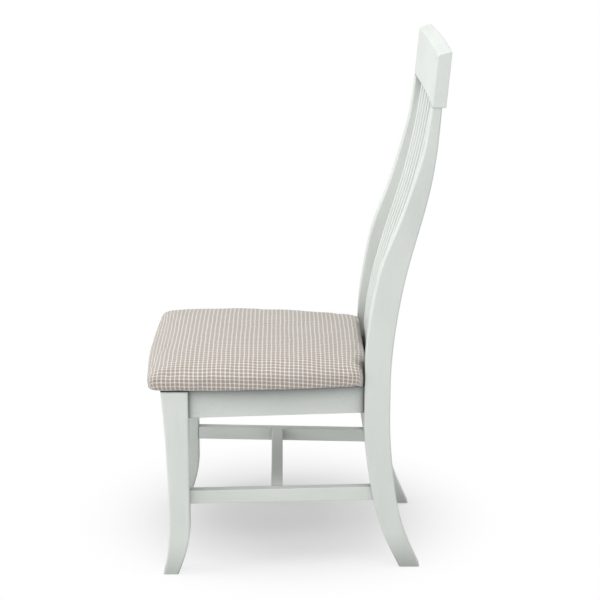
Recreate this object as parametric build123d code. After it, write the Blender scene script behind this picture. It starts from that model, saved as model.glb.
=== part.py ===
# A side chair with a padded seat: a painted wooden frame with curved rear posts, six fanned slats
# under a deep crest rail, an H of stretchers, and a fabric seat pad screwed down on corner blocks.
# Millimetres. +Z is up, the sitter faces -Y and +X is the sitter's left. The origin is on the floor
# under the middle of the chair's bounding box.
from build123d import *
from math import asin, atan2, degrees, hypot
import os

os.makedirs("parts", exist_ok=True)

# Heights above the floor
chair_height = 1050.8       # back top edge of the crest rail
frame_top = 386.0           # top of the front legs and the aprons
stretcher_top = 172.4       # top of the three stretchers
leg_bend_height = 100.0     # below this the back of a front leg leans forward

# Places along Y, measured from the middle of the chair's depth
leg_reach = 266.15          # front of a front leg's top, ahead of the middle
post_reach = 133.85         # front of a rear post at the seat, behind the middle
cross_reach = 38.9          # middle of the cross stretcher, ahead of the middle

# Places along X, measured from the middle plane
leg_outer_x = 222.5         # outer side of a front leg
post_outer_x = 190.3        # outer side of a rear post at the seat

# Front leg
leg_width = 42.0
leg_depth = 54.4            # front to back at the top
leg_hollow = 13.0           # how far the front edge is hollowed at the waist
leg_foot_kick = 23.7        # how far the back of the foot leans forward
leg_round = 4.0

# Rear post
post_width = 29.0
post_depth = 51.5           # front to back at the seat
post_foot_kick = 74.9       # how far the foot sweeps back
back_lean = 117.6           # how far the top leans back
post_foot_tuck = 3.8        # how far the foot stands in from the seat's width
post_top_flare = 36.7       # how far the top stands out from it
post_round = 3.0

# Aprons
apron_height = 56.5
apron_thickness = 22.0
apron_inset = 8.0           # set back from the outer faces of legs and posts
rear_apron_inset = 1.0      # set back from the front face of the posts
apron_round = 1.5

# Stretchers
stretcher_height = 28.0
stretcher_thickness = 20.0
stretcher_inset = 0.8       # inner face in from the inner face of leg and post
cross_width = 23.5
stretcher_round = 2.0

# Crest rail
crest_length = 457.2
crest_height = 106.8
crest_thickness = 26.5
crest_lip = 0.5             # front face ahead of the posts
crest_lean = 9.1            # top further back than the bottom
crest_bevel = 8.4           # front top edge lower than the back one
crest_bow = 3.5             # middle further back than the ends
crest_front_round = 6.0
crest_round = 3.0

# Slats
slat_count = 6
slat_pitch_low = 24.7       # spacing at the seat
slat_pitch_high = 47.9      # spacing under the crest rail
slat_width_low = 16.0
slat_width_high = 20.0
slat_thickness = 10.0
slat_set_back = 7.9         # front face behind the front of the posts
slat_round = 2.0
slat_housing = 15.0         # depth let into the rear apron and the crest rail

# Joints
glue_gap = 0.1
apron_tenon_thickness = 9.0
apron_tenon_length = 25.0
apron_tenon_shoulder = 10.0
post_tenon_length = 16.0
stretcher_tenon_thickness = 9.0
stretcher_tenon_height = 16.0
stretcher_tenon_length = 16.0
cross_tenon_length = 12.0
dowel_radius = 4.0
dowel_length = 40.0
dowel_spacing = 13.0
dowel_chamfer = 1.0

# Corner blocks and screws
block_height = 30.0
block_drop = 2.5            # top below the top of the frame
block_reach = 62.0
block_seat = 14.0           # wood under a block screw's head
block_screw_margin = 18.0
block_screw_length = 30.0
seat_screw_length = 42.0
seat_screw_side = 14.0      # in from the inner side of leg or post
seat_screw_back = 28.0      # ahead of the front of the posts
screw_radius = 2.1
screw_head_radius = 4.2
screw_head_height = 2.6
screw_tip_length = 5.0
screw_slot_width = 0.9
screw_slot_length = 4.6
screw_slot_depth = 1.5
screw_gap = 0.15
head_gap = 1.0

# Foot glides
glide_height = 2.0
glide_radius = 10.0
glide_round = 0.8
glide_nail_radius = 1.4
glide_nail_length = 14.0

# Seat pad
pad_height = 71.9           # underside to the top of the crown
pad_front_overhang = 23.2   # ahead of the front legs
pad_side_overhang = 4.5     # outside the front legs
pad_rear_overhang = 9.7     # outside the rear posts
pad_rear_gap = 1.6          # ahead of the rear posts, at the corners
pad_front_bow = 4.0
pad_side_bow = 9.5
pad_rear_bow = 3.0
pad_front_round = 28.0
pad_rear_round = 14.0
pad_crown_run = 160.0       # from the edge in to the flat middle of the crown
cover_thickness = 1.6
soft_gap = 0.3
hem_width = 46.0
board_inset = 9.5
board_thickness = 10.0

# Staples and dust cover
staple_wire = 0.6
staple_width = 1.2
staple_length = 10.0
staple_leg = 7.5
hem_staple_inset = 22.0
hem_staple_count = 26
dust_thickness = 0.4
dust_gap = 0.1
dust_inset = 3.0            # in from the aprons and from the board's rear edge
dust_staple_inset = 4.0
dust_staple_count = 22

# Run of every cut past the face it opens
overrun = 1.0

# Edges of a rear post seen from the side: share of the height, share of the sweep
post_front_low_shares = [(0.0, 1.0), (0.188, 0.611), (0.443, 0.275), (0.7, 0.085), (1.0, 0.0)]
post_front_high_shares = [(0.0, 0.0), (0.176, 0.033), (0.314, 0.125), (0.443, 0.262), (0.563, 0.475),
                          (0.71, 0.708), (0.855, 0.897), (1.0, 1.0)]
post_back_low_shares = [(0.0, 0.86), (0.182, 0.511), (0.443, 0.21), (0.7, 0.07), (1.0, 0.0)]
post_back_high_shares = [(0.0, 0.0), (0.206, 0.069), (0.36, 0.186), (0.516, 0.358), (0.674, 0.541),
                         (0.855, 0.672), (1.0, 0.722)]
# Outer edge of a rear post seen from the front: share of the height, share of the tuck or flare
post_tuck_shares = [(0.0, 1.0), (0.5, 0.35), (1.0, 0.0)]
post_flare_shares = [(0.0, 0.0), (0.3835, 0.05), (0.563, 0.24), (0.742, 0.61), (0.855, 0.81), (1.0, 1.0)]
# Front edge of a front leg: share of the height, share of the hollow
leg_front_shares = [(0.0, 0.0), (0.124, 0.7), (0.2306, 0.946), (0.34, 1.0), (0.49, 0.89),
                    (0.759, 0.53), (1.0, 0.0)]
# Back edge of a front leg's foot: share of the bend height, share of the kick
leg_foot_shares = [(0.0, 1.0), (0.28, 0.58), (0.6, 0.2), (1.0, 0.0)]
# Front face of a slat: share of the height above the seat, share of the lean
slat_shares = [(0.0, 0.0), (0.176, 0.047), (0.312, 0.169), (0.419, 0.308), (0.527, 0.469),
               (0.634, 0.632), (0.742, 0.77), (0.849, 0.8805), (1.0, 1.0)]
# Levels of the seat pad: share of its height, share of the crown's run
pad_level_shares = [(0.0, 0.044), (0.34, 0.0), (0.651, 0.0875), (0.783, 0.2375), (0.869, 0.3875),
                    (0.926, 0.5375), (0.964, 0.6875), (0.989, 0.8375), (1.0, 1.0)]
round_depth_share = 2 - 2 ** 0.5    # how far an arc's middle lies from a square corner to its chord
pad_corner_growth_share = 0.1   # growth of the pad's corner radii along the crown's run

# Places that follow from the sizes above
crest_bottom = chair_height - crest_height
apron_bottom = frame_top - apron_height
stretcher_bottom = stretcher_top - stretcher_height
leg_front_y = -leg_reach
leg_back_y = leg_front_y + leg_depth
leg_inner_x = leg_outer_x - leg_width
post_front_y = post_reach
post_back_y = post_front_y + post_depth
post_inner_x = post_outer_x - post_width
front_apron_y = leg_front_y + apron_inset
rear_apron_y = post_front_y + rear_apron_inset
crest_end_y = post_front_y + back_lean - crest_lip
pad_bottom = frame_top + staple_wire + dust_gap
board_bottom = pad_bottom + cover_thickness + soft_gap
board_top = board_bottom + board_thickness
pad_front_y = leg_front_y - pad_front_overhang
pad_rear_y = post_front_y - pad_rear_gap
pad_front_x = leg_outer_x + pad_side_overhang
pad_rear_x = post_outer_x + pad_rear_overhang
block_top = frame_top - block_drop
block_bottom = block_top - block_height
dust_top = frame_top


# Solids from outlines

def box_between(low, high, grow=0.0):
    """A box between two opposite corners, grown on every side by a clearance."""
    size = [b - a + 2 * grow for a, b in zip(low, high)]
    middle = [(a + b) / 2 for a, b in zip(low, high)]
    return Pos(*middle) * Box(*size)


def swept(edges, start, amount, direction):
    """The solid that a flat closed outline sweeps along one axis."""
    face = make_face(edges)
    return Pos(*start) * extrude(face, amount=amount, dir=direction)


def prism(points, z_low, z_high):
    """The solid that a plan of straight sides sweeps between two heights."""
    plan = [(x, y, 0) for x, y in points]
    return swept(Polyline(*plan, close=True).edges(), (0, 0, z_low), z_high - z_low, (0, 0, 1))


def eased_curve(points, ends_upright):
    """A smooth curve that leaves along its first chord or ends upright, as told."""
    first = Vector(*points[1]) - Vector(*points[0])
    last = Vector(*points[-1]) - Vector(*points[-2])
    upright = Vector(0, 0, 1)
    tangents = [first, upright] if ends_upright else [upright, last]
    return Spline(*points, tangents=tangents)


def softened(solid, radius, least):
    """Rounds every edge that runs further than a least length."""
    edges = [edge for edge in solid.edges() if edge.length > least]
    return fillet(edges, radius)


def mirrored(solid):
    """The same piece on the sitter's right."""
    return mirror(solid, about=Plane.YZ)


# Front leg

def leg_outline():
    """Side view: hollowed front edge, straight back, and a foot that leans forward."""
    rise = frame_top - glide_height
    front = [(0, leg_front_y + leg_hollow * hollow, glide_height + rise * height)
             for height, hollow in leg_front_shares]
    bend = leg_bend_height - glide_height
    foot = [(0, leg_back_y - leg_foot_kick * kick, glide_height + bend * height)
            for height, kick in leg_foot_shares]
    top_back = (0, leg_back_y, frame_top)
    return [Spline(*front), Line(front[-1], top_back), Line(top_back, foot[-1]),
            eased_curve(foot, True), Line(foot[0], front[0])]


def left_front_leg():
    leg = swept(leg_outline(), (leg_inner_x, 0, 0), leg_width, (1, 0, 0))
    leg = softened(leg, leg_round, leg_width)
    for cut in [front_apron_tenon(glue_gap), side_apron_front_tenon(glue_gap),
                stretcher_front_tenon(glue_gap), nail_hole(front_glide_place())]:
        leg -= cut
    return leg


# Rear post

def post_side_edge(y_seat, low_shares, high_shares):
    """One edge in side view: sweep of the foot, upright land at the apron, lean of the back."""
    low_rise = apron_bottom - glide_height
    high_rise = crest_bottom - frame_top
    low = [(0, y_seat + post_foot_kick * sweep, glide_height + low_rise * height)
           for height, sweep in low_shares]
    high = [(0, y_seat + back_lean * sweep, frame_top + high_rise * height)
            for height, sweep in high_shares]
    return low, high, [eased_curve(low, True), Line(low[-1], high[0]), eased_curve(high, False)]


def post_front_edge(shift):
    """One edge in front view: slight tuck of the foot, upright land, flare towards the crest rail."""
    low_rise = apron_bottom - glide_height
    high_rise = crest_bottom - frame_top
    low = [(post_outer_x - post_foot_tuck * tuck - shift, 0, glide_height + low_rise * height)
           for height, tuck in post_tuck_shares]
    high = [(post_outer_x + post_top_flare * flare - shift, 0, frame_top + high_rise * height)
            for height, flare in post_flare_shares]
    return low, high, [eased_curve(low, True), Line(low[-1], high[0]), eased_curve(high, False)]


def post_side_solid():
    """The side view of a rear post, swept wider than the post."""
    front_low, front_high, front_edges = post_side_edge(
        post_front_y, post_front_low_shares, post_front_high_shares)
    back_low, back_high, back_edges = post_side_edge(
        post_back_y, post_back_low_shares, post_back_high_shares)
    side = front_edges + back_edges + [Line(front_low[0], back_low[0]),
                                       Line(front_high[-1], back_high[-1])]
    reach = post_foot_tuck + post_width
    return swept(side, (post_inner_x - reach, 0, 0), 2 * reach + post_top_flare, (1, 0, 0))


def post_blank():
    """The side view and the front view of a rear post, cut from one plank."""
    outer_low, outer_high, outer_edges = post_front_edge(0)
    inner_low, inner_high, inner_edges = post_front_edge(post_width)
    front = outer_edges + inner_edges + [Line(outer_low[0], inner_low[0]),
                                         Line(outer_high[-1], inner_high[-1])]
    depth = post_depth + post_foot_kick + back_lean + 2 * overrun
    front_solid = swept(front, (0, post_front_y - overrun, 0), depth, (0, 1, 0))
    return post_side_solid() & front_solid


def left_rear_post():
    post = softened(post_blank(), post_round, max(post_width, post_depth))
    for cut in [side_apron_rear_tenon(glue_gap), rear_apron_tenon(glue_gap),
                stretcher_rear_tenon(glue_gap), nail_hole(rear_glide_place())]:
        post -= cut
    for place in crest_dowel_places():
        post -= dowel_hole(place)
    return post


# Aprons

def side_apron_x(y, inward):
    """X of a side apron's face at a place along Y, so far in from its outer face."""
    run = post_front_y - leg_back_y
    taper = leg_outer_x - post_outer_x
    outer = leg_outer_x - apron_inset - taper * (y - leg_back_y) / run
    return outer - inward * hypot(run, taper) / run


def side_apron_front_tenon(grow=0.0):
    """Tenon of the side apron in the back of the front leg."""
    middle = side_apron_x(leg_back_y, apron_thickness / 2)
    half = apron_tenon_thickness / 2
    low = (middle - half, leg_back_y - apron_tenon_length, apron_bottom + apron_tenon_shoulder)
    high = (middle + half, leg_back_y + overrun, frame_top - apron_tenon_shoulder)
    return box_between(low, high, grow)


def side_apron_rear_tenon(grow=0.0):
    """Upper tenon in the front of the rear post, above the rear apron's."""
    middle = side_apron_x(post_front_y, apron_thickness / 2)
    half = apron_tenon_thickness / 2
    low = (middle - half, post_front_y - overrun, frame_top - apron_height / 2 + glue_gap)
    high = (middle + half, post_front_y + post_tenon_length, frame_top - apron_tenon_shoulder)
    return box_between(low, high, grow)


def left_apron():
    front = leg_back_y + glue_gap
    rear = post_front_y - glue_gap
    plan = [(side_apron_x(front, 0), front), (side_apron_x(rear, 0), rear),
            (side_apron_x(rear, apron_thickness), rear), (side_apron_x(front, apron_thickness), front)]
    apron = softened(prism(plan, apron_bottom, frame_top), apron_round, apron_height)
    apron += side_apron_front_tenon() + side_apron_rear_tenon()
    for place, direction in side_block_screw_places():
        apron -= screw_hole(place, direction, block_screw_length)
    return apron


def front_apron_tenon(grow=0.0):
    """Tenon of the front apron in the inner side of the front leg."""
    middle = front_apron_y + apron_thickness / 2
    half = apron_tenon_thickness / 2
    low = (leg_inner_x - overrun, middle - half, apron_bottom + apron_tenon_shoulder)
    high = (leg_inner_x + apron_tenon_length, middle + half, frame_top - apron_tenon_shoulder)
    return box_between(low, high, grow)


def front_apron():
    end = leg_inner_x - glue_gap
    body = box_between((-end, front_apron_y, apron_bottom),
                       (end, front_apron_y + apron_thickness, frame_top))
    apron = softened(body, apron_round, max(apron_height, apron_thickness))
    apron += front_apron_tenon() + mirrored(front_apron_tenon())
    place, direction = front_block_front_screw()
    hole = screw_hole(place, direction, block_screw_length)
    apron -= hole + mirrored(hole)
    return apron


def rear_apron_tenon(grow=0.0):
    """Lower tenon of the rear apron in the inner side of the rear post."""
    middle = rear_apron_y + apron_thickness / 2
    half = apron_tenon_thickness / 2
    low = (post_inner_x - overrun, middle - half, apron_bottom + apron_tenon_shoulder)
    high = (post_inner_x + post_tenon_length, middle + half,
            apron_bottom + apron_height / 2 - 2 * glue_gap)
    return box_between(low, high, grow)


def rear_apron():
    end = post_inner_x - glue_gap
    body = box_between((-end, rear_apron_y, apron_bottom),
                       (end, rear_apron_y + apron_thickness, frame_top))
    apron = softened(body, apron_round, max(apron_height, apron_thickness))
    apron += rear_apron_tenon() + mirrored(rear_apron_tenon())
    for number in range(slat_count):
        apron -= slat_blank(number, glue_gap)
    place, direction = rear_block_rear_screw()
    hole = screw_hole(place, direction, block_screw_length)
    return apron - hole - mirrored(hole)


# Stretchers

def stretcher_x(y, outward):
    """X of a side stretcher's face at a place along Y, so far out from its inner face."""
    run = post_front_y - leg_back_y
    taper = leg_inner_x - post_inner_x
    inner = leg_inner_x + stretcher_inset - taper * (y - leg_back_y) / run
    return inner + outward * hypot(run, taper) / run


def stretcher_shoulder_y():
    """The furthest place of the side stretcher's shoulder, at its lower edge on the swept post."""
    return left_stretcher_bar().bounding_box().max.Y


def left_stretcher_bar():
    """The side stretcher without its tenons, scribed to the sweep of the rear post."""
    front = leg_back_y + glue_gap
    rear = post_front_y + post_depth
    plan = [(stretcher_x(front, 0), front), (stretcher_x(rear, 0), rear),
            (stretcher_x(rear, stretcher_thickness), rear),
            (stretcher_x(front, stretcher_thickness), front)]
    bar = prism(plan, stretcher_bottom, stretcher_top)
    bar -= Pos(0, -glue_gap, 0) * post_side_solid()
    return softened(bar, stretcher_round, post_depth)


def stretcher_tenon(y_low, y_high, y_face, grow):
    middle = stretcher_x(y_face, stretcher_thickness / 2)
    half = stretcher_tenon_thickness / 2
    height = stretcher_top - stretcher_height / 2
    low = (middle - half, y_low, height - stretcher_tenon_height / 2)
    high = (middle + half, y_high, height + stretcher_tenon_height / 2)
    return box_between(low, high, grow)


def stretcher_front_tenon(grow=0.0):
    return stretcher_tenon(leg_back_y - stretcher_tenon_length, leg_back_y + overrun,
                           leg_back_y, grow)


def stretcher_rear_tenon(grow=0.0):
    shoulder = stretcher_shoulder_y()
    return stretcher_tenon(shoulder - stretcher_tenon_length, shoulder + stretcher_tenon_length,
                           shoulder, grow)


def left_stretcher():
    bar = left_stretcher_bar() + stretcher_front_tenon() + stretcher_rear_tenon()
    return bar - cross_tenon(glue_gap)


def cross_tenon(grow=0.0):
    """Tenon of the cross stretcher in the inner side of the side stretcher."""
    inner = stretcher_x(-cross_reach, 0)
    height = stretcher_top - stretcher_height / 2
    half = stretcher_tenon_thickness / 2
    low = (inner - 2 * overrun, -cross_reach - stretcher_tenon_height / 2, height - half)
    high = (inner + cross_tenon_length, -cross_reach + stretcher_tenon_height / 2, height + half)
    return box_between(low, high, grow)


def cross_stretcher():
    front = -cross_reach - cross_width / 2
    rear = -cross_reach + cross_width / 2
    front_x = stretcher_x(front, 0) - glue_gap
    rear_x = stretcher_x(rear, 0) - glue_gap
    plan = [(-front_x, front), (front_x, front), (rear_x, rear), (-rear_x, rear)]
    bar = prism(plan, stretcher_bottom, stretcher_top)
    bar = softened(bar, stretcher_round, max(stretcher_height, cross_width + overrun))
    return bar + cross_tenon() + mirrored(cross_tenon())


# Slats and crest rail

def slat_pitch(z):
    rise = crest_bottom - frame_top
    return slat_pitch_low + (slat_pitch_high - slat_pitch_low) * (z - frame_top) / rise


def slat_width(z):
    rise = crest_bottom - frame_top
    return slat_width_low + (slat_width_high - slat_width_low) * (z - frame_top) / rise


def slat_side_edges(grow):
    """Side view of a slat: one curved band, straight where it is let in at both ends."""
    rise = crest_bottom - frame_top
    front_y = post_front_y + slat_set_back
    curve = [(0, front_y - grow + back_lean * lean, frame_top + rise * height)
             for height, lean in slat_shares]
    back = [(0, y + slat_thickness + 2 * grow, z) for x, y, z in curve]
    low = frame_top - slat_housing - grow
    high = crest_bottom + slat_housing + grow
    slope = (curve[-1][1] - curve[-2][1]) / (curve[-1][2] - curve[-2][2])
    drift = slope * (high - crest_bottom)
    front_low = (0, curve[0][1], low)
    back_low = (0, back[0][1], low)
    front_high = (0, curve[-1][1] + drift, high)
    back_high = (0, back[-1][1] + drift, high)
    return [Line(front_low, curve[0]), eased_curve(curve, False), Line(curve[-1], front_high),
            Line(front_high, back_high), Line(back_high, back[-1]), eased_curve(back, False),
            Line(back[0], back_low), Line(back_low, front_low)]


def slat_blank(number, grow=0.0):
    """One slat: its curved side view within its straight, tapering, fanned front view."""
    place = number - (slat_count - 1) / 2
    low = frame_top - slat_housing - grow
    high = crest_bottom + slat_housing + grow
    reach = slat_count * slat_pitch_high
    band = swept(slat_side_edges(grow), (-reach, 0, 0), 2 * reach, (1, 0, 0))
    strip = []
    for z, side in [(low, -1), (low, 1), (high, 1), (high, -1)]:
        strip.append((place * slat_pitch(z) + side * (slat_width(z) / 2 + grow), 0, z))
    depth = back_lean + slat_set_back + slat_thickness + 2 * crest_thickness
    face = swept(Polyline(*strip, close=True).edges(), (0, post_front_y, 0), depth, (0, 1, 0))
    return band & face


def back_slat(number):
    return softened(slat_blank(number), slat_round, slat_width_high + slat_housing)


def crest_profile():
    """Section of the crest rail at its middle, leaning back, with a rounded front top edge."""
    front = crest_end_y + crest_bow
    low = [(0, front, crest_bottom), (0, front + crest_thickness, crest_bottom)]
    high = [(0, front + crest_thickness + crest_lean, chair_height),
            (0, front + crest_lean, chair_height - crest_bevel)]
    face = make_face(Polyline(*low, *high, close=True).edges())
    corners = face.vertices().sort_by(Axis.Z)
    front_top = corners[-2]
    rest = [corner for corner in corners if corner != front_top]
    face = fillet(rest, crest_round)
    corner = face.vertices().sort_by_distance(front_top)[0]
    return fillet(corner, crest_front_round)


def crest_radius():
    half = crest_length / 2
    return (half * half + crest_bow * crest_bow) / (2 * crest_bow)


def crest_rail():
    """The section turned about a far upright axis, trimmed square at both ends."""
    radius = crest_radius()
    centre = crest_end_y + crest_bow - radius
    axis = Axis((0, centre, 0), (0, 0, 1))
    half_angle = degrees(asin((crest_length / 2 + crest_thickness) / radius))
    bar = revolve(crest_profile().rotate(axis, -half_angle), axis=axis,
                  revolution_arc=2 * half_angle)
    half = crest_length / 2
    low = (-half, crest_end_y - overrun, crest_bottom - overrun)
    high = (half, crest_end_y + crest_bow + crest_lean + crest_thickness + overrun,
            chair_height + overrun)
    rail = bar & box_between(low, high)
    ends = [edge for edge in rail.edges() if edge.bounding_box().size.X < overrun]
    rail = fillet(ends, crest_round / 2)
    for number in range(slat_count):
        rail -= slat_blank(number, glue_gap)
    for place in crest_dowel_places():
        rail -= dowel_hole(place) + mirrored(dowel_hole(place))
    return rail


def crest_dowel_places():
    """Middles of the two dowels in the left post's top."""
    middle_x = post_outer_x + post_top_flare - post_width / 2
    front = post_front_y + back_lean * post_front_high_shares[-1][1]
    back = post_back_y + back_lean * post_back_high_shares[-1][1]
    sides = [-dowel_spacing / 2, dowel_spacing / 2]
    return [(middle_x + side, (front + back) / 2, crest_bottom) for side in sides]


def dowel(place):
    pin = Pos(*place) * Cylinder(dowel_radius, dowel_length)
    rims = pin.edges().filter_by(GeomType.CIRCLE)
    return chamfer(rims, dowel_chamfer)


def dowel_hole(place):
    return Pos(*place) * Cylinder(dowel_radius + glue_gap, dowel_length + 2 * overrun)


# Corner blocks

def front_block_front_screw():
    """Bearing place and direction of the screw into the front apron."""
    x = leg_inner_x - block_reach + block_screw_margin
    y = front_apron_y + apron_thickness + block_seat
    return (x, y, block_top - block_height / 2), (0, -1, 0)


def front_block_side_screw():
    y = leg_back_y + block_reach - block_screw_margin
    x = side_apron_x(y, apron_thickness) - block_seat
    return (x, y, block_top - block_height / 2), (1, 0, 0)


def rear_block_rear_screw():
    x = post_inner_x - block_reach + block_screw_margin
    return (x, rear_apron_y - block_seat, block_top - block_height / 2), (0, 1, 0)


def rear_block_side_screw():
    y = post_front_y - block_reach + block_screw_margin
    x = side_apron_x(y, apron_thickness) - block_seat
    return (x, y, block_top - block_height / 2), (1, 0, 0)


def side_block_screw_places():
    return [front_block_side_screw(), rear_block_side_screw()]


def seat_screw_places():
    """Bearing places of the two left seat screws, under the blocks."""
    return [(leg_inner_x - seat_screw_side, leg_back_y, block_bottom),
            (post_inner_x - seat_screw_side, post_front_y - seat_screw_back, block_bottom)]


def block_plan_front():
    """Plan of the front block: along the front apron, round the leg's corner, along the side apron."""
    face = front_apron_y + apron_thickness + glue_gap
    behind = leg_back_y + glue_gap
    end = leg_back_y + block_reach
    return [(leg_inner_x - block_reach, face), (leg_inner_x - glue_gap, face),
            (leg_inner_x - glue_gap, behind),
            (side_apron_x(behind, apron_thickness) - glue_gap, behind),
            (side_apron_x(end, apron_thickness) - glue_gap, end)]


def block_plan_rear():
    """Plan of the rear block: along the rear apron and the side apron."""
    face = rear_apron_y - glue_gap
    end = post_front_y - block_reach
    corner = min(side_apron_x(face, apron_thickness), post_inner_x) - glue_gap
    return [(post_inner_x - block_reach, face), (corner, face),
            (side_apron_x(end, apron_thickness) - glue_gap, end)]


def corner_block(plan, screws, seat_screw):
    """A block with holes and pockets for two apron screws and a hole for the seat screw."""
    block = prism(plan, block_bottom, block_top)
    for place, direction in screws:
        block -= screw_hole(place, direction, block_screw_length)
        block -= screw_pocket(place, direction)
    return block - screw_hole(seat_screw, (0, 0, 1), seat_screw_length)


def front_left_corner_block():
    return corner_block(block_plan_front(), [front_block_front_screw(), front_block_side_screw()],
                        seat_screw_places()[0])


def rear_left_corner_block():
    return corner_block(block_plan_rear(), [rear_block_rear_screw(), rear_block_side_screw()],
                        seat_screw_places()[1])


# Screws

def pointed(place, direction):
    """Frame whose Z runs along the screw from under its head."""
    return Plane(origin=place, z_dir=direction).location


def screw(place, direction, length):
    """A pan head screw with a cross recess, bearing at its place."""
    straight = length - screw_tip_length
    shank = Pos(0, 0, straight / 2) * Cylinder(screw_radius, straight)
    tip = Pos(0, 0, straight + screw_tip_length / 2) * Cone(
        screw_radius, screw_radius / 5, screw_tip_length)
    head = Pos(0, 0, -screw_head_height / 2) * Cylinder(screw_head_radius, screw_head_height)
    crown = head.faces().sort_by(Axis.Z)[0].edges()
    head = fillet(crown, screw_head_height / 2)
    slots = Box(screw_slot_length, screw_slot_width, screw_slot_depth)
    slots += Box(screw_slot_width, screw_slot_length, screw_slot_depth)
    body = head - Pos(0, 0, -screw_head_height + screw_slot_depth / 2) * slots + shank + tip
    return pointed(place, direction) * body


def screw_hole(place, direction, length):
    depth = length + 2 * screw_gap + overrun
    hole = Pos(0, 0, depth / 2 - overrun) * Cylinder(screw_radius + screw_gap, depth)
    return pointed(place, direction) * hole


def screw_pocket(place, direction):
    """Counterbore from the bearing face out through the block's long face."""
    pocket = Pos(0, 0, -block_reach / 2) * Cylinder(screw_head_radius + head_gap, block_reach)
    return pointed(place, direction) * pocket


def corner_block_screws():
    places = [front_block_front_screw(), rear_block_rear_screw()] + side_block_screw_places()
    left = [screw(place, direction, block_screw_length) for place, direction in places]
    return left + [mirrored(piece) for piece in left]


def seat_screws():
    left = [screw(place, (0, 0, 1), seat_screw_length) for place in seat_screw_places()]
    return left + [mirrored(piece) for piece in left]


def seat_screw_holes():
    holes = [screw_hole(place, (0, 0, 1), seat_screw_length) for place in seat_screw_places()]
    return holes + [mirrored(hole) for hole in holes]


# Foot glides

def front_glide_place():
    return (leg_outer_x - leg_width / 2, leg_front_y + (leg_depth - leg_foot_kick) / 2)


def rear_glide_place():
    front = post_front_y + post_foot_kick * post_front_low_shares[0][1]
    back = post_back_y + post_foot_kick * post_back_low_shares[0][1]
    return (post_outer_x - post_foot_tuck - post_width / 2, (front + back) / 2)


def foot_glide(place):
    """A nylon disc on the floor with its nail up in the foot."""
    disc = Pos(0, 0, glide_height / 2) * Cylinder(glide_radius, glide_height)
    rim = disc.faces().sort_by(Axis.Z)[0].edges()
    disc = fillet(rim, glide_round)
    nail = Pos(0, 0, glide_height + glide_nail_length / 2) * Cylinder(
        glide_nail_radius, glide_nail_length)
    return Pos(place[0], place[1], 0) * (disc + nail)


def nail_hole(place):
    depth = glide_nail_length + overrun
    return Pos(place[0], place[1], glide_height + depth / 2 - glue_gap) * Cylinder(
        glide_nail_radius + glue_gap, depth + glue_gap)


# Seat pad

def bowed_place(start, end, outward, bow, away):
    """A place on a bowed side, so far along its chord from the start."""
    chord = Vector(*end) - Vector(*start)
    share = away / chord.length
    return Vector(*start) + chord * share + Vector(*outward) * (4 * bow * share * (1 - share))


def pad_outline(inset):
    """Plan of the seat pad: four bowed sides and rounded corners, drawn in by an inset."""
    front = pad_front_y + pad_front_bow + inset
    rear = pad_rear_y - inset
    front_x = pad_front_x - inset
    rear_x = pad_rear_x - inset
    growth = pad_corner_growth_share * inset
    corners = [(front_x, front), (rear_x, rear), (-rear_x, rear), (-front_x, front)]
    outwards = [(1, 0), (0, 1), (-1, 0), (0, -1)]
    bows = [pad_side_bow, pad_rear_bow, pad_side_bow, pad_front_bow]
    rounds = [pad_front_round, pad_rear_round, pad_rear_round, pad_front_round]
    sides = []
    for number in range(4):
        start, end = corners[number], corners[(number + 1) % 4]
        length = (Vector(*end) - Vector(*start)).length
        cuts = [rounds[number] + growth, length / 2, length - rounds[(number + 1) % 4] - growth]
        sides.append([bowed_place(start, end, outwards[number], bows[number], cut) for cut in cuts])
    edges = []
    for number, (first, middle, last) in enumerate(sides):
        corner = Vector(*corners[(number + 1) % 4])
        following = sides[(number + 1) % 4][0]
        bend = corner + ((last + following) / 2 - corner) * round_depth_share
        edges += [ThreePointArc(first, middle, last), ThreePointArc(last, bend, following)]
    return make_face(edges)


def pad_form(shrink):
    """The crowned form of the pad with its sides drawn in at the bottom, shrunk all round."""
    low = pad_bottom + shrink
    high = pad_bottom + pad_height - shrink
    levels = []
    for height, run in pad_level_shares:
        section = pad_outline(pad_crown_run * run + shrink)
        levels.append(Pos(0, 0, low + (high - low) * height) * section)
    return loft(levels)


def pad_slab(inset, z_low, z_high):
    """A flat slab with the pad's plan."""
    return Pos(0, 0, z_low) * extrude(pad_outline(inset), amount=z_high - z_low, dir=(0, 0, 1))


def seat_cover():
    """The fabric: a thin shell over foam and board, with a hem under the board's edge."""
    cover = pad_form(0) - pad_form(cover_thickness)
    cover -= pad_slab(hem_width, pad_bottom - overrun, pad_bottom + cover_thickness + overrun)
    for hole in seat_screw_holes():
        cover -= hole
    cover -= staple_cuts(hem_staple_places(), pad_bottom)
    return cover - staple_cuts(dust_staple_places(), dust_top - dust_gap - dust_thickness)


def seat_foam():
    foam = pad_form(cover_thickness + soft_gap)
    return foam - pad_slab(0, pad_bottom - overrun, board_top + soft_gap)


def seat_board():
    board = pad_slab(board_inset, board_bottom, board_top)
    for hole in seat_screw_holes():
        board -= hole
    board -= staple_cuts(hem_staple_places(), pad_bottom)
    return board - staple_cuts(dust_staple_places(), dust_top - dust_gap - dust_thickness)


# Staples and dust cover

def staple(place, turn, top):
    """A bent wire: its crown hangs below the height given and two legs stand up."""
    crown = Pos(0, 0, -staple_wire / 2) * Box(staple_length, staple_width, staple_wire)
    for side in (-1, 1):
        leg = Box(staple_wire, staple_width, staple_leg)
        crown += Pos(side * (staple_length - staple_wire) / 2, 0, staple_leg / 2 - staple_wire) * leg
    return Pos(place[0], place[1], top) * Rot(0, 0, turn) * crown


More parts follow.
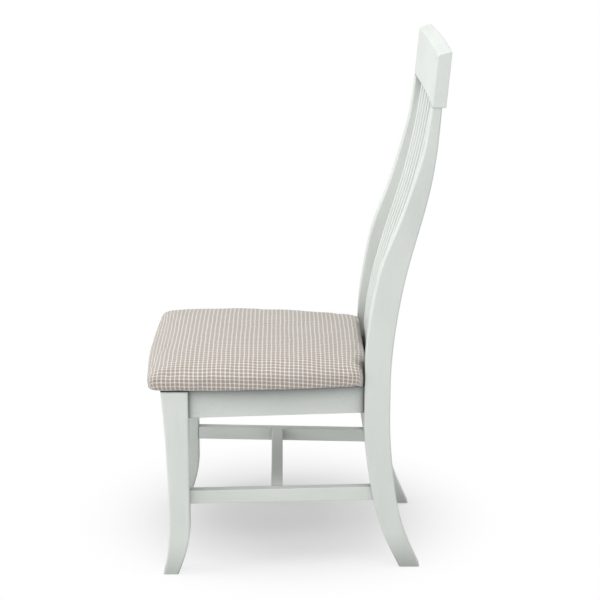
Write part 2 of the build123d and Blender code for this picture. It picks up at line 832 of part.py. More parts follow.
def staple_cuts(places, top):
    """Holes for the legs of a row of staples."""
    cuts = []
    for place, turn in places:
        for side in (-1, 1):
            hole = Box(staple_wire + 2 * glue_gap, staple_width + 2 * glue_gap, 2 * staple_leg)
            hole = Pos(side * (staple_length - staple_wire) / 2, 0, 0) * hole
            cuts.append(Pos(place[0], place[1], top) * Rot(0, 0, turn) * hole)
    return Part() + cuts


def places_along(wire, count):
    """Evenly spaced places on a closed outline, each with its direction in degrees."""
    places = []
    for number in range(count):
        share = (number + 1 / 2) / count
        point = wire.position_at(share)
        tangent = wire.tangent_at(share)
        places.append(((point.X, point.Y), degrees(atan2(tangent.Y, tangent.X))))
    return places


def hem_staple_places():
    return places_along(pad_outline(hem_staple_inset).face().outer_wire(), hem_staple_count)


def dust_plan(inset):
    """Plan of the opening inside the aprons, drawn in by an inset."""
    front = front_apron_y + apron_thickness + inset
    rear = pad_rear_y - board_inset - inset
    front_x = side_apron_x(front, apron_thickness) - inset
    rear_x = side_apron_x(rear, apron_thickness) - inset
    front_x = min(front_x, leg_inner_x - inset) if front < leg_back_y else front_x
    return [(-front_x, front), (front_x, front), (rear_x, rear), (-rear_x, rear)]


def dust_staple_places():
    plan = [(x, y, 0) for x, y in dust_plan(dust_inset + dust_staple_inset)]
    return places_along(Wire(Polyline(*plan, close=True).edges()), dust_staple_count)


def dust_cover():
    """Thin cloth stretched under the board, inside the aprons."""
    top = dust_top - dust_gap
    cloth = prism(dust_plan(dust_inset), top - dust_thickness, top)
    for hole in seat_screw_holes():
        cloth -= hole
    return cloth - staple_cuts(dust_staple_places(), top - dust_thickness)


def cover_staples():
    return [staple(place, turn, pad_bottom) for place, turn in hem_staple_places()]


def dust_cover_staples():
    top = dust_top - dust_gap - dust_thickness
    return [staple(place, turn, top) for place, turn in dust_staple_places()]


# Writing one file for each sub-part

def write_piece(node, solid):
    export_step(solid.solid() if hasattr(solid, "solid") else solid, f"parts/{node}.step")


def write_group(node, solids):
    export_step(Compound(children=[piece.solid() for piece in solids]), f"parts/{node}.step")


def write_pair(name, solid):
    write_piece(f"left_{name}", solid)
    write_piece(f"right_{name}", mirrored(solid))


write_pair("front_leg", left_front_leg())
write_pair("rear_post", left_rear_post())
write_pair("apron", left_apron())
write_pair("stretcher", left_stretcher())
write_pair("front_corner_block", front_left_corner_block())
write_pair("rear_corner_block", rear_left_corner_block())
write_pair("front_glide", foot_glide(front_glide_place()))
write_pair("rear_glide", foot_glide(rear_glide_place()))
write_piece("front_apron", front_apron())
write_piece("rear_apron", rear_apron())
write_piece("cross_stretcher", cross_stretcher())
write_piece("crest_rail", crest_rail())
for slat_number in range(slat_count):
    write_piece(f"back_slat_{slat_number + 1}", back_slat(slat_number))
write_piece("seat_board", seat_board())
write_piece("seat_foam", seat_foam())
write_piece("seat_cover", seat_cover())
write_piece("dust_cover", dust_cover())
write_group("corner_block_screws", corner_block_screws())
write_group("seat_screws", seat_screws())
left_dowels = [dowel(place) for place in crest_dowel_places()]
write_group("crest_dowels", left_dowels + [mirrored(piece) for piece in left_dowels])
write_group("cover_staples", cover_staples())
write_group("dust_cover_staples", dust_cover_staples())
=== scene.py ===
# A painted side chair with a checked fabric seat pad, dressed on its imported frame.
# Metres. +Z is up, the sitter faces -Y and +X is the sitter's left, the side nearest the camera.
from math import cos, hypot, pi, sin
import bmesh
import bpy
from mathutils import Matrix, Vector, noise


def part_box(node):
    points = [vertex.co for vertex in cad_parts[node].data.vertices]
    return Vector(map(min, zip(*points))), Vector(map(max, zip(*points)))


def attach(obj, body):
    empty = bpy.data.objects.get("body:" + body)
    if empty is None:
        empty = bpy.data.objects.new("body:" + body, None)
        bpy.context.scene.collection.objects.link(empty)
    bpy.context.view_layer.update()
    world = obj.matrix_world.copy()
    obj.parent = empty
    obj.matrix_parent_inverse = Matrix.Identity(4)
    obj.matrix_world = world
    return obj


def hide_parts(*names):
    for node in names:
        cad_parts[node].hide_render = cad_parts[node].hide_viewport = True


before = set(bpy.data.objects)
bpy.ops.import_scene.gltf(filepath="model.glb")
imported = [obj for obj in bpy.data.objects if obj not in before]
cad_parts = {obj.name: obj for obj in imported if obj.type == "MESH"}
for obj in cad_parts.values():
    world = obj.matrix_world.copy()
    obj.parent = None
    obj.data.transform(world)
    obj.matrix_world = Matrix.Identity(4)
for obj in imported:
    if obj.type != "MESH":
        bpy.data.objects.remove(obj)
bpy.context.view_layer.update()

scene = bpy.context.scene
scene.view_settings.view_transform = "Standard"
mm = 0.001

# Seat pad: its plan, which follows the frame's own, and its side
pad_low, pad_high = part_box("seat_cover")
pad_front_x = 231.0 * mm
pad_rear_x = 200.0 * mm
pad_front_y = -293.5 * mm
pad_rear_y = 132.9 * mm
pad_side_bow = 9.5 * mm
pad_front_bow = 7.0 * mm
pad_rear_bow = 1.0 * mm
pad_front_round = 18.0 * mm
pad_rear_round = 14.0 * mm
pad_least_round = 3.0 * mm
pad_crown_run = 160.0 * mm
pad_bottom = pad_low.z
pad_height = pad_high.z - pad_low.z
# Share of the pad's height, share of the crown's run
pad_level_shares = [(0.0, 0.06), (0.04, 0.036), (0.1, 0.02), (0.2, 0.009), (0.32, 0.002),
                    (0.42, 0.0), (0.5, 0.018), (0.651, 0.0875), (0.783, 0.2375), (0.869, 0.3875),
                    (0.926, 0.5375), (0.964, 0.6875), (0.989, 0.8375), (1.0, 1.0)]
# How much of the sides' inset the front and the rear take, and how much the corners' rounds do
front_inset_share = 0.8
rear_inset_share = 0.04
front_round_share = 0.4
rear_round_share = -0.2
rear_upright_share = 1 / 3      # share of the height below which the rear takes none
corner_steps = 8
side_steps = 60
corner_share = 0.83             # how far a corner's curve is drawn towards its point
pad_start_inset = -0.5 * mm     # a little larger and lower than the finished pad
pad_start_drop = 2.5 * mm

# Between the posts the pad reaches further back
swell_back = 6.0 * mm
swell_half_width = 161.0 * mm
swell_side_fade = 8.0 * mm
swell_start_y = 100.0 * mm
swell_run = 30.0 * mm

# The top falls away to the front and the rear, from a level line across the pad
crown_y = -100.0 * mm
crown_drop = 4.2 * mm
end_drop = 8.0 * mm
end_drop_run = 180.0 * mm
end_drop_limit = 9.0 * mm
drop_power = 1.5

# Simulation of the pad
pad_voxel = 5.0 * mm
pad_pressure = 4.0
pad_cap = 2.5 * mm              # how far it may move a point
pad_frames = 20
held_height = 3.0 * mm          # fully held up to here, not at all one fade above
held_fade = 12.0 * mm

# Folds and dimples, all inwards: depth, then spacing or reach
gather_depth = 1.3 * mm
gather_turn = 3.4 * mm
gather_reach = 34.0 * mm
gather_level_share = 0.62
dimple_depth = 0.9 * mm
dimple_spacing = 46.0 * mm
dimple_side_reach = 14.0 * mm
dimple_level_share = 0.3
uneven_depth, uneven_waves = 0.9 * mm, 22
fine_uneven_depth, fine_uneven_waves = 0.3 * mm, 60
uneven_level_share = 0.15
flat_underside = 0.4 * mm

# The pad's rear hem lies on the rear apron, just ahead of the posts and the slats
hem_start_y = 122.0 * mm
hem_run = 8.0 * mm
hem_reach_up = 12.0 * mm
hem_sink = 4.0 * mm
hem_lowest = 0.7 * mm
soft_gap = 0.15 * mm
post_inner_x = 160.0 * mm
post_front_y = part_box("left_rear_post")[0].y
slat_front_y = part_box("back_slat_1")[0].y

# Fabric: a woven check
check_across = 8.9 * mm         # spacing of the lines that run from side to side
check_along = 8.3 * mm          # spacing of the lines that run from front to back
check_line = 2.4 * mm
thread = 0.75 * mm


def linear(code):
    """A colour written as sRGB hex, in linear light."""
    parts = [int(code[i:i + 2], 16) / 255 for i in (0, 2, 4)]
    return [p / 12.92 if p <= 0.04045 else ((p + 0.055) / 1.055) ** 2.4 for p in parts] + [1.0]


def add_node(tree, kind, inputs=(), **settings):
    """Adds a shader node, sets what it is told, and links or fills its inputs."""
    made = tree.nodes.new("ShaderNode" + kind)
    for name, value in settings.items():
        setattr(made, name, value)
    for name, value in dict(inputs).items():
        if isinstance(value, bpy.types.NodeSocket):
            tree.links.new(value, made.inputs[name])
        else:
            made.inputs[name].default_value = value
    return made


def new_material(name):
    """An empty material with its shader and output joined."""
    material = bpy.data.materials.new(name)
    material.use_nodes = True
    tree = material.node_tree
    tree.nodes.clear()
    shader = add_node(tree, "BsdfPrincipled")
    add_node(tree, "OutputMaterial", {"Surface": shader.outputs["BSDF"]})
    return material, tree, shader


def fill(shader, **values):
    """Sets a shader's own sockets."""
    for name, value in values.items():
        shader.inputs[name.replace("_", " ")].default_value = value


def two_tones(tree, factor, low, high, start=0.0, end=1.0):
    """A ramp from one colour to another."""
    ramp = add_node(tree, "ValToRGB", {"Fac": factor})
    for element, colour, place in zip(ramp.color_ramp.elements, (low, high), (start, end)):
        element.position = place
        element.color = linear(colour)
    return ramp.outputs["Color"]


def object_noise(tree, size, **inputs):
    """Even noise in the piece's own place."""
    place = add_node(tree, "TexCoord")
    return add_node(tree, "TexNoise", {"Vector": place.outputs["Object"], "Scale": 1 / size,
                                       **inputs}).outputs["Fac"]


def grain_vector(tree, axis, along, across):
    """Object coordinates drawn out along one axis, in waves per metre."""
    scale = [across, across, across]
    scale["XYZ".index(axis)] = along
    place = add_node(tree, "TexCoord")
    turned = add_node(tree, "Mapping", {"Vector": place.outputs["Object"], "Scale": scale})
    return turned.outputs["Vector"]


def painted_corner_shade(tree, colour, reach, power):
    """Painted shade: the colour as it is in the open, darkened where another surface is close by
    and shade would fall.
    """
    near = add_node(tree, "AmbientOcclusion", {"Distance": reach}, samples=8)
    share = add_node(tree, "Math", {0: near.outputs["AO"], 1: power}, operation="POWER")
    scale = add_node(tree, "VectorMath", {0: colour, "Scale": share.outputs[0]},
                     operation="SCALE")
    return scale.outputs["Vector"]


# Satin paint on planed beech: smooth and pale, with faint brush lines and grain telegraphing along
# each piece, slightly uneven in tone, and with painted shade darkening its colour near other
# surfaces
def satin_paint(name, axis, shade_power):
    material, tree, shader = new_material(name)
    brushed = grain_vector(tree, axis, 1 / (90 * mm), 1 / (1.6 * mm))
    brush = add_node(tree, "TexNoise", {"Vector": brushed, "Scale": 1.0, "Detail": 3.0,
                                        "Roughness": 0.55})
    clouded = grain_vector(tree, axis, 1 / (160 * mm), 1 / (60 * mm))
    cloud = add_node(tree, "TexNoise", {"Vector": clouded, "Scale": 1.0, "Detail": 2.0})
    mottle = add_node(tree, "Mix", {"Factor": 0.4, "A": cloud.outputs["Fac"],
                                    "B": brush.outputs["Fac"]})
    tone = two_tones(tree, mottle.outputs["Result"], "d7ddd8", "e0e5e0", 0.35, 0.65)
    gloss = add_node(tree, "MapRange", {"Value": brush.outputs["Fac"], "From Min": 0.3,
                                        "From Max": 0.7, "To Min": 0.36, "To Max": 0.46})
    relief = add_node(tree, "Bump", {"Height": brush.outputs["Fac"], "Strength": 0.25,
                                     "Distance": 0.05 * mm})
    # painted shade: the base colour darkens in corners, under overhangs and near the floor,
    # standing in for shadow
    shade = painted_corner_shade(tree, tone, 80 * mm, shade_power)
    tree.links.new(shade, shader.inputs["Base Color"])
    tree.links.new(gloss.outputs["Result"], shader.inputs["Roughness"])
    tree.links.new(relief.outputs["Normal"], shader.inputs["Normal"])
    fill(shader, IOR=1.48)
    return material


# Bare planed beech: pale tan with short darker flecks along the grain, dull
def bare_beech(name, axis, light, dark):
    material, tree, shader = new_material(name)
    grain = grain_vector(tree, axis, 1 / (24 * mm), 1 / (1.4 * mm))
    fleck = add_node(tree, "TexNoise", {"Vector": grain, "Scale": 1.0, "Detail": 4.0,
                                        "Roughness": 0.6})
    tone = two_tones(tree, fleck.outputs["Fac"], dark, light, 0.32, 0.6)
    relief = add_node(tree, "Bump", {"Height": fleck.outputs["Fac"], "Strength": 0.4,
                                     "Distance": 0.08 * mm})
    tree.links.new(tone, shader.inputs["Base Color"])
    tree.links.new(relief.outputs["Normal"], shader.inputs["Normal"])
    fill(shader, Roughness=0.62)
    return material


# Zinc plated steel: grey, slightly cloudy, brushed by handling
def zinc_plate(name):
    material, tree, shader = new_material(name)
    cloud = object_noise(tree, 1.5 * mm, Detail=3.0)
    gloss = add_node(tree, "MapRange", {"Value": cloud, "To Min": 0.28, "To Max": 0.5})
    tone = two_tones(tree, cloud, "a9abad", "cfd1d3")
    tree.links.new(tone, shader.inputs["Base Color"])
    tree.links.new(gloss.outputs["Result"], shader.inputs["Roughness"])
    fill(shader, Metallic=1.0)
    return material


# Moulded nylon: off-white, waxy, scuffed underneath
def moulded_nylon(name):
    material, tree, shader = new_material(name)
    scuff = object_noise(tree, 2.0 * mm, Detail=5.0)
    tone = two_tones(tree, scuff, "c4c3bb", "e0dfd8")
    relief = add_node(tree, "Bump", {"Height": scuff, "Strength": 0.3, "Distance": 0.1 * mm})
    tree.links.new(tone, shader.inputs["Base Color"])
    tree.links.new(relief.outputs["Normal"], shader.inputs["Normal"])
    fill(shader, Roughness=0.5, IOR=1.53)
    return material


# Non-woven dust cloth: black felted fibres, quite matt
def felted_cloth(name):
    material, tree, shader = new_material(name)
    fibre = object_noise(tree, 1.2 * mm, Detail=6.0, Roughness=0.7)
    tone = two_tones(tree, fibre, "1d1d1e", "3a3a3b")
    relief = add_node(tree, "Bump", {"Height": fibre, "Strength": 0.6, "Distance": 0.15 * mm})
    tree.links.new(tone, shader.inputs["Base Color"])
    tree.links.new(relief.outputs["Normal"], shader.inputs["Normal"])
    fill(shader, Roughness=0.95)
    return material


def line_mask(tree, place, spacing, width, waver):
    """1 on lines of one width at one spacing, 0 between them, with soft edges."""
    moved = add_node(tree, "Math", {0: place, 1: waver}, operation="ADD")
    turns = add_node(tree, "Math", {0: moved.outputs[0], 1: spacing}, operation="DIVIDE")
    share = add_node(tree, "Math", {0: turns.outputs[0]}, operation="FRACT")
    away = add_node(tree, "Math", {0: share.outputs[0], 1: 0.5}, operation="SUBTRACT")
    away = add_node(tree, "Math", {0: away.outputs[0]}, operation="ABSOLUTE")
    edge = width / spacing / 2
    return add_node(tree, "MapRange", {"Value": away.outputs[0], "From Min": edge * 0.7,
                                       "From Max": edge * 1.3, "To Min": 1.0, "To Max": 0.0},
                    interpolation_type="SMOOTHSTEP").outputs["Result"]


# Woven upholstery cloth: a taupe ground of slubby threads with a check of thin off-white lines,
# matt with a soft sheen, its colour darkened by painted shade near the frame
def checked_weave(name):
    material, tree, shader = new_material(name)
    cloth = add_node(tree, "Attribute", attribute_name="weave", attribute_type="GEOMETRY")
    sides = add_node(tree, "SeparateXYZ", {"Vector": cloth.outputs["Vector"]})
    ragged = add_node(tree, "TexNoise", {"Vector": cloth.outputs["Vector"], "Scale": 1 / (1.3 * mm),
                                         "Detail": 2.0})
    slub = add_node(tree, "TexNoise", {"Vector": cloth.outputs["Vector"], "Scale": 1 / (3.0 * mm),
                                       "Detail": 4.0, "Roughness": 0.65})
    drift = add_node(tree, "TexNoise", {"Vector": cloth.outputs["Vector"], "Scale": 1 / (40 * mm),
                                        "Detail": 1.0})
    drift = add_node(tree, "Math", {0: ragged.outputs["Fac"], 1: 0.7, 2: drift.outputs["Fac"]},
                     operation="MULTIPLY_ADD")
    waver = add_node(tree, "MapRange", {"Value": drift.outputs[0], "To Min": -1.1 * mm,
                                        "To Max": 1.1 * mm})
    across = line_mask(tree, sides.outputs["Y"], check_across, check_line, waver.outputs["Result"])
    along = line_mask(tree, sides.outputs["X"], check_along, check_line, waver.outputs["Result"])
    both = add_node(tree, "Math", {0: along, 1: 0.8, 2: across}, operation="MULTIPLY_ADD")
    level = add_node(tree, "MapRange", {"Value": both.outputs[0], "From Max": 2.0, "To Max": 1.0})
    ground = two_tones(tree, slub.outputs["Fac"], "a39589", "b5a79c", 0.3, 0.7)
    lines = two_tones(tree, level.outputs["Result"], "000000", "ffffff", 0.0, 0.75)
    colour = add_node(tree, "MixRGB", {"Fac": lines, "Color1": ground, "Color2": linear("eaeae7")})
    warp = add_node(tree, "Math", {0: sides.outputs["X"], 1: 2 * pi / thread}, operation="MULTIPLY")
    weft = add_node(tree, "Math", {0: sides.outputs["Y"], 1: 2 * pi / thread}, operation="MULTIPLY")
    warp = add_node(tree, "Math", {0: warp.outputs[0]}, operation="SINE")
    weft = add_node(tree, "Math", {0: weft.outputs[0]}, operation="SINE")
    cells = add_node(tree, "Math", {0: warp.outputs[0], 1: weft.outputs[0]}, operation="MULTIPLY")
    height = add_node(tree, "Math", {0: cells.outputs[0], 1: level.outputs["Result"]},
                      operation="ADD")
    relief = add_node(tree, "Bump", {"Height": height.outputs[0], "Strength": 0.5,
                                     "Distance": 0.18 * mm})
    # painted shade: the cloth's colour darkens where the posts, rails and apron are close by
    shade = painted_corner_shade(tree, colour.outputs["Color"], 25 * mm, 1.6)
    tree.links.new(shade, shader.inputs["Base Color"])
    tree.links.new(relief.outputs["Normal"], shader.inputs["Normal"])
    fill(shader, Roughness=0.9, Sheen_Weight=0.35, Sheen_Roughness=0.5)
    return material


# Seat pad

def bowed(start, end, outward, bow, count):
    """Places along a bowed side, its end left out."""
    places = []
    for step in range(count):
        share = step / count
        lift = 4 * bow * share * (1 - share)
        places.append(start + (end - start) * share + outward * lift)
    return places


def pad_ring(inset, z):
    """The pad's outline at one level: four bowed sides with rounded corners between them."""
    upright = z <= pad_bottom + pad_height * rear_upright_share
    front = pad_front_y + front_inset_share * inset
    rear = pad_rear_y - (0.0 if upright else rear_inset_share * inset)
    front_x = pad_front_x - inset
    rear_x = pad_rear_x - inset
    front_round = pad_front_round + front_round_share * inset
    rear_round = max(pad_rear_round + rear_round_share * inset, pad_least_round)
    corners = [Vector((front_x, front)), Vector((rear_x, rear)),
               Vector((-rear_x, rear)), Vector((-front_x, front))]
    outwards = [Vector((1, 0)), Vector((0, 1)), Vector((-1, 0)), Vector((0, -1))]
    bows = [pad_side_bow, pad_rear_bow, pad_side_bow, pad_front_bow]
    rounds = [front_round, rear_round, rear_round, front_round]
    end_share = (1 - corner_share) / 2
    places = []
    for number in range(4):
        before, corner, after = corners[number - 1], corners[number], corners[(number + 1) % 4]
        entry = corner + (before - corner).normalized() * rounds[number]
        leave = corner + (after - corner).normalized() * rounds[number]
        pull = corner * corner_share + (entry + leave) * end_share
        for step in range(corner_steps):
            share = step / corner_steps
            places.append((1 - share) ** 2 * entry + 2 * share * (1 - share) * pull
                          + share ** 2 * leave)
        last = after + (corner - after).normalized() * rounds[(number + 1) % 4]
        places += bowed(leave, last, outwards[number], bows[number], side_steps)
    return [(place.x, place.y, z) for place in places]


def ramp(value, start, run):
    """0 up to a start, 1 from one run further on."""
    return min(max((value - start) / run, 0.0), 1.0)


def pad_shape():
    """The crowned form as a closed mesh: rings joined from the underside to the crown."""
    shape = bmesh.new()
    rings = []
    for height, run in pad_level_shares:
        z = pad_bottom + (pad_height - pad_start_drop) * height
        places = pad_ring(pad_crown_run * run + pad_start_inset, z)
        ring = [shape.verts.new(place) for place in places]
        rings.append([shape.edges.new((a, b)) for a, b in zip(ring, ring[1:] + ring[:1])])
    for low, high in zip(rings, rings[1:]):
        bmesh.ops.bridge_loops(shape, edges=low + high)
    for ring in (rings[0], rings[-1]):
        bmesh.ops.contextual_create(shape, geom=ring)
    for point in shape.verts:
        level = (point.co.z - pad_bottom) / pad_height
        between = ramp(-abs(point.co.x), -swell_half_width, swell_side_fade)
        point.co.y += swell_back * between * ramp(point.co.y, swell_start_y, swell_run)
        away = (point.co.y - crown_y) / end_drop_run
        drop = crown_drop + min(end_drop * away * away, end_drop_limit)
        point.co.z -= drop * level ** drop_power
    bmesh.ops.recalc_face_normals(shape, faces=shape.faces)
    return shape


def new_piece(name, shape):
    """A finished bmesh as an object at the origin."""
    mesh = bpy.data.meshes.new(name)
    shape.to_mesh(mesh)
    shape.free()
    piece = bpy.data.objects.new(name, mesh)
    scene.collection.objects.link(piece)
    return piece


def settled(piece):
    """The piece with its modifiers applied to its mesh."""
    bpy.context.view_layer.update()
    evaluated = piece.evaluated_get(bpy.context.evaluated_depsgraph_get())
    mesh = bpy.data.meshes.new_from_object(evaluated)
    piece.modifiers.clear()
    piece.data = mesh
    return piece


def pad_excess(z):
    """How much longer the cloth's way is than its plan, from the crown down to a height."""
    levels = [(pad_bottom + pad_height * height, pad_crown_run * run)
              for height, run in reversed(pad_level_shares)]
    way = 0.0
    for (upper, far), (lower, near) in zip(levels, levels[1:]):
        step = hypot(upper - lower, far - near) - (far - near)
        if z >= lower:
            return way + step * (upper - min(z, upper)) / (upper - lower)
        way += step
    return way


def side_line(y):
    """Half width of the pad at a place along its depth."""
    share = min(max((y - pad_front_y) / (pad_rear_y - pad_front_y), 0.0), 1.0)
    lift = 4 * pad_side_bow * share * (1 - share)
    return pad_front_x + (pad_rear_x - pad_front_x) * share + lift


def weave_place(co):
    """Where a point of the pad lies on the flat cloth, so that the check follows the form."""
    least = 1.0 * mm
    edge_power = 1.5
    to_side = max(side_line(co.y) - abs(co.x), least)
    to_front = max(co.y - pad_front_y + pad_front_bow, least)
    to_rear = max(pad_rear_y + pad_rear_bow - co.y, least)
    across = (1 if co.x > 0 else -1) / to_side ** edge_power
    along = 1 / to_rear ** edge_power - 1 / to_front ** edge_power
    length = hypot(across, along)
    excess = pad_excess(co.z)
    return (co.x + across / length * excess, co.y + along / length * excess, 0.0)


def store_weave(piece):
    """Keeps each point's place on the flat cloth with the mesh."""
    layer = piece.data.attributes.new("weave", "FLOAT_VECTOR", "POINT")
    for point, item in zip(piece.data.vertices, layer.data):
        item.vector = weave_place(point.co)


def swell(piece):
    """Cloth simulation under pressure, with its underside held and every point's travel capped."""
    rest = [point.co.copy() for point in piece.data.vertices]
    held = piece.vertex_groups.new(name="held")
    for point in piece.data.vertices:
        grip = 1 - (point.co.z - pad_bottom - held_height) / held_fade
        if grip > 0:
            held.add([point.index], min(grip, 1.0), "REPLACE")
    cloth = piece.modifiers.new("cloth", "CLOTH")
    settings = cloth.settings
    settings.quality = 5
    settings.mass = 0.3
    settings.tension_stiffness = 20
    settings.compression_stiffness = 20
    settings.shear_stiffness = 5
    settings.bending_stiffness = 0.8
    settings.shrink_min = -0.02
    settings.use_pressure = True
    settings.uniform_pressure_force = pad_pressure
    settings.vertex_group_mass = "held"
    settings.effector_weights.gravity = 0
    cloth.collision_settings.use_self_collision = False
    cloth.collision_settings.use_collision = False
    cloth.point_cache.frame_start = 1
    cloth.point_cache.frame_end = pad_frames
    for number in range(1, pad_frames + 1):
        scene.frame_set(number)
    settled(piece)
    scene.frame_set(1)
    for point, start in zip(piece.data.vertices, rest):
        travel = point.co - start
        if travel.length > pad_cap:
            point.co = start + travel * (pad_cap / travel.length)


def fold_depth(co):
    """Gathers at the rear corners, dimples at the staples and a slight unevenness, inwards."""
    level = (co.z - pad_bottom) / pad_height
    corner = hypot(abs(co.x) - pad_rear_x, co.y - pad_rear_y)
    gather = max(0.0, 1 - corner / gather_reach)
    low = max(0.0, 1 - level / gather_level_share)
    folds = sin((co.y - pad_rear_y) / gather_turn) * gather_depth * gather * low ** 0.6
    on_side = abs(co.x) > side_line(co.y) - dimple_side_reach
    along = co.y if on_side else co.x
    dimple = 0.5 + 0.5 * cos(2 * pi * along / dimple_spacing)
    pull = dimple * dimple_depth * max(0.0, 1 - level / dimple_level_share) ** 1.5
    uneven = (noise.noise(co * uneven_waves) * uneven_depth
              + noise.noise(co * fine_uneven_waves) * fine_uneven_depth)
    return folds + pull + uneven * min(1.0, level / uneven_level_share)


def dress_surface(piece):
    """Moves each point of the fine mesh by the folds' depth, and seats the rear hem."""
    mesh = piece.data
    normals = [point.normal.copy() for point in mesh.vertices]
    for point, normal in zip(mesh.vertices, normals):
        if point.co.z > pad_bottom + flat_underside:
            point.co -= normal * fold_depth(point.co)
            point.co.z = max(point.co.z, pad_bottom)
        behind = ramp(point.co.y, hem_start_y, hem_run)
        low = max(1 - (point.co.z - pad_bottom) / hem_reach_up, 0.0)
        point.co.z = max(point.co.z - hem_sink * behind * low, pad_bottom - hem_lowest * behind)
        at_post = abs(point.co.x) > post_inner_x
        point.co.y = min(point.co.y, (post_front_y if at_post else slat_front_y) - soft_gap)


def seat_pad():
    pad = new_piece("seat_pad", pad_shape())
    remesh = pad.modifiers.new("remesh", "REMESH")
    remesh.mode = "VOXEL"
    remesh.voxel_size = pad_voxel
    settled(pad)
    store_weave(pad)
    swell(pad)
    finer = pad.modifiers.new("finer", "SUBSURF")
    finer.levels = finer.render_levels = 1
    settled(pad)
    dress_surface(pad)
    for face in pad.data.polygons:
        face.use_smooth = True
    pad.data.materials.append(checked_weave("checked_weave"))
    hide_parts("seat_cover", "seat_foam")
    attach(pad, "root")


# Dust cover: thin cloth stapled flat, sagging a little in its middle
def dust_sheet():
    low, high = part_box("dust_cover")
    sag = 2.5 * mm
    half_front = high.x
    half_rear = 156.5 * mm
    length = high.y - low.y
    shape = bmesh.new()
    bmesh.ops.create_grid(shape, x_segments=36, y_segments=36, size=1.0)
    for point in shape.verts:
        depth = (point.co.y + 1) / 2
        half = half_front + (half_rear - half_front) * depth
        droop = (1 - point.co.x ** 2) * (1 - point.co.y ** 2)
        point.co = Vector((point.co.x * half, low.y + length * depth, high.z - sag * droop))
    sheet = new_piece("dust_sheet", shape)
    wall = sheet.modifiers.new("wall", "SOLIDIFY")
    wall.thickness = high.z - low.z
    wall.offset = -1
    sheet.data.materials.append(felted_cloth("felted_cloth"))
    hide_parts("dust_cover")
    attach(sheet, "root")


# Finishes of the frame's own nodes

# Painted pieces by the words in their names: grain direction, and how strongly painted shade
# darkens their corners
painted = {"front_apron": ("X", 3.2), "rear_apron": ("X", 3.2), "apron": ("Y", 3.2),
           "cross_stretcher": ("X", 0.4), "stretcher": ("Y", 0.4), "crest_rail": ("X", 1.1),
           "front_leg": ("Z", 0.6), "rear_post": ("Z", 0.8), "back_slat": ("Z", 0.2)}


def finish_nodes():
    """Gives every node that stays its real finish, with the grain along the piece."""
    paint = {(axis, power): satin_paint(f"satin_paint_{axis.lower()}_{power}", axis, power)
             for axis, power in sorted(set(painted.values()))}
    beech = bare_beech("bare_beech", "Y", "d8b98c", "b48f5f")
    veneer = bare_beech("birch_veneer", "Y", "d6bc90", "bb9868")
    zinc = zinc_plate("zinc_plate")
    wire = zinc_plate("galvanised_wire")
    nylon = moulded_nylon("moulded_nylon")
    finishes = {"screws": zinc, "staples": wire, "corner_block": beech, "crest_dowels": beech,
                "glide": nylon, "seat_board": veneer}
    finishes.update({word: paint[kind] for word, kind in painted.items()})
    for name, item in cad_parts.items():
        if name in ("seat_cover", "seat_foam", "dust_cover"):
            continue
        word = next(word for word in finishes if word in name)
        item.data.materials.clear()
        item.data.materials.append(finishes[word])


# Camera at the photograph's viewing place

def set_camera():
    place = Vector((3.46365, -0.02775, 1.45716))
    pitch, yaw, roll = 0.2666, 0.0104, 0.0029       # radians
    ahead = Vector((-cos(pitch) * cos(yaw), cos(pitch) * sin(yaw), -sin(pitch)))
    level = Vector((sin(yaw), cos(yaw), 0))
    upward = level.cross(ahead)
    right = level * cos(roll) + upward * sin(roll)
    up = upward * cos(roll) - level * sin(roll)
    turn = Matrix((right, up, -ahead)).transposed().to_4x4()
    data = bpy.data.cameras.new("camera")
    data.sensor_width = 36
    data.lens = 105
    data.clip_end = 100
    camera = bpy.data.objects.new("camera", data)
    camera.matrix_world = Matrix.Translation(place) @ turn
    scene.collection.objects.link(camera)
    scene.camera = camera


# Soft studio light

def area_light(name, place, target, size, power):
    data = bpy.data.lights.new(name, "AREA")
    data.shape = "RECTANGLE"
    data.size, data.size_y = size
    data.energy = power
    lamp = bpy.data.objects.new(name, data)
    lamp.location = place
    lamp.rotation_euler = (Vector(target) - Vector(place)).to_track_quat("-Z", "Y").to_euler()
    scene.collection.objects.link(lamp)


def set_lights():
    middle = (0, 0, 0.5)
    area_light("overhead", (0.9, 0.0, 3.1), middle, (2.4, 2.4), 34)
    area_light("front", (0.4, -3.2, 2.0), middle, (2.4, 2.4), 60)
    area_light("near_side", (3.4, -0.2, 0.6), (0, 0, 0.3), (1.6, 0.8), 19)


def is_seen(tree):
    """1 for what the camera, a mirror or a glass shows, 0 for the light that falls on things."""
    path = add_node(tree, "LightPath")
    seen = add_node(tree, "Math", {0: path.outputs["Is Camera Ray"],
                                   1: path.outputs["Is Glossy Ray"]}, operation="MAXIMUM")
    return add_node(tree, "Math", {0: seen.outputs[0], 1: path.outputs["Is Transmission Ray"]},
                    operation="MAXIMUM").outputs[0]


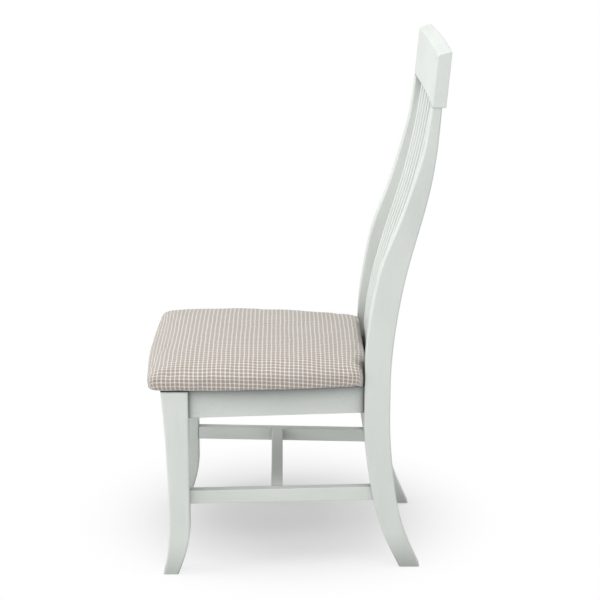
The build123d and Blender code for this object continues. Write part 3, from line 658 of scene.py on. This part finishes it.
def set_world():
    world = bpy.data.worlds.new("studio")
    world.use_nodes = True
    scene.world = world
    tree = world.node_tree
    tree.nodes.clear()
    glow = add_node(tree, "Background", {"Color": (1, 1, 1, 1), "Strength": 0.52})
    white = add_node(tree, "Background", {"Color": (1, 1, 1, 1), "Strength": 1.0})
    mixed = add_node(tree, "MixShader", {0: is_seen(tree), 1: glow.outputs[0], 2: white.outputs[0]})
    add_node(tree, "OutputWorld", {"Surface": mixed.outputs[0]})


# White floor: it keeps the chair's soft shadow near the feet and turns to plain white further out
def set_floor():
    shade_middle = Vector((-0.1, -0.03, 0))
    shade_start, shade_end = 0.06, 0.5
    shape = bmesh.new()
    bmesh.ops.create_grid(shape, x_segments=1, y_segments=1, size=30.0)
    floor = new_piece("floor", shape)
    material = bpy.data.materials.new("white_floor")
    material.use_nodes = True
    tree = material.node_tree
    tree.nodes.clear()
    paper = add_node(tree, "BsdfDiffuse", {"Color": (0.8, 0.8, 0.8, 1)})
    lift = add_node(tree, "Emission", {"Color": (1, 1, 1, 1), "Strength": 0.1})
    white = add_node(tree, "Emission", {"Color": (1, 1, 1, 1), "Strength": 1.0})
    near = add_node(tree, "AddShader", {0: paper.outputs[0], 1: lift.outputs[0]})
    place = add_node(tree, "TexCoord")
    away = add_node(tree, "VectorMath", {0: place.outputs["Object"], 1: -shade_middle},
                    operation="ADD")
    length = add_node(tree, "VectorMath", {0: away.outputs[0]}, operation="LENGTH")
    far = add_node(tree, "MapRange", {"Value": length.outputs["Value"], "From Min": shade_start,
                                      "From Max": shade_end}, interpolation_type="SMOOTHSTEP")
    shown = add_node(tree, "MixShader", {0: far.outputs["Result"], 1: near.outputs[0],
                                         2: white.outputs[0]})
    dull = add_node(tree, "BsdfDiffuse", {"Color": (0.65, 0.65, 0.65, 1)})
    mixed = add_node(tree, "MixShader", {0: is_seen(tree), 1: dull.outputs[0], 2: shown.outputs[0]})
    add_node(tree, "OutputMaterial", {"Surface": mixed.outputs[0]})
    floor.data.materials.append(material)


set_camera()
set_world()
set_floor()
set_lights()
finish_nodes()
seat_pad()
dust_sheet()
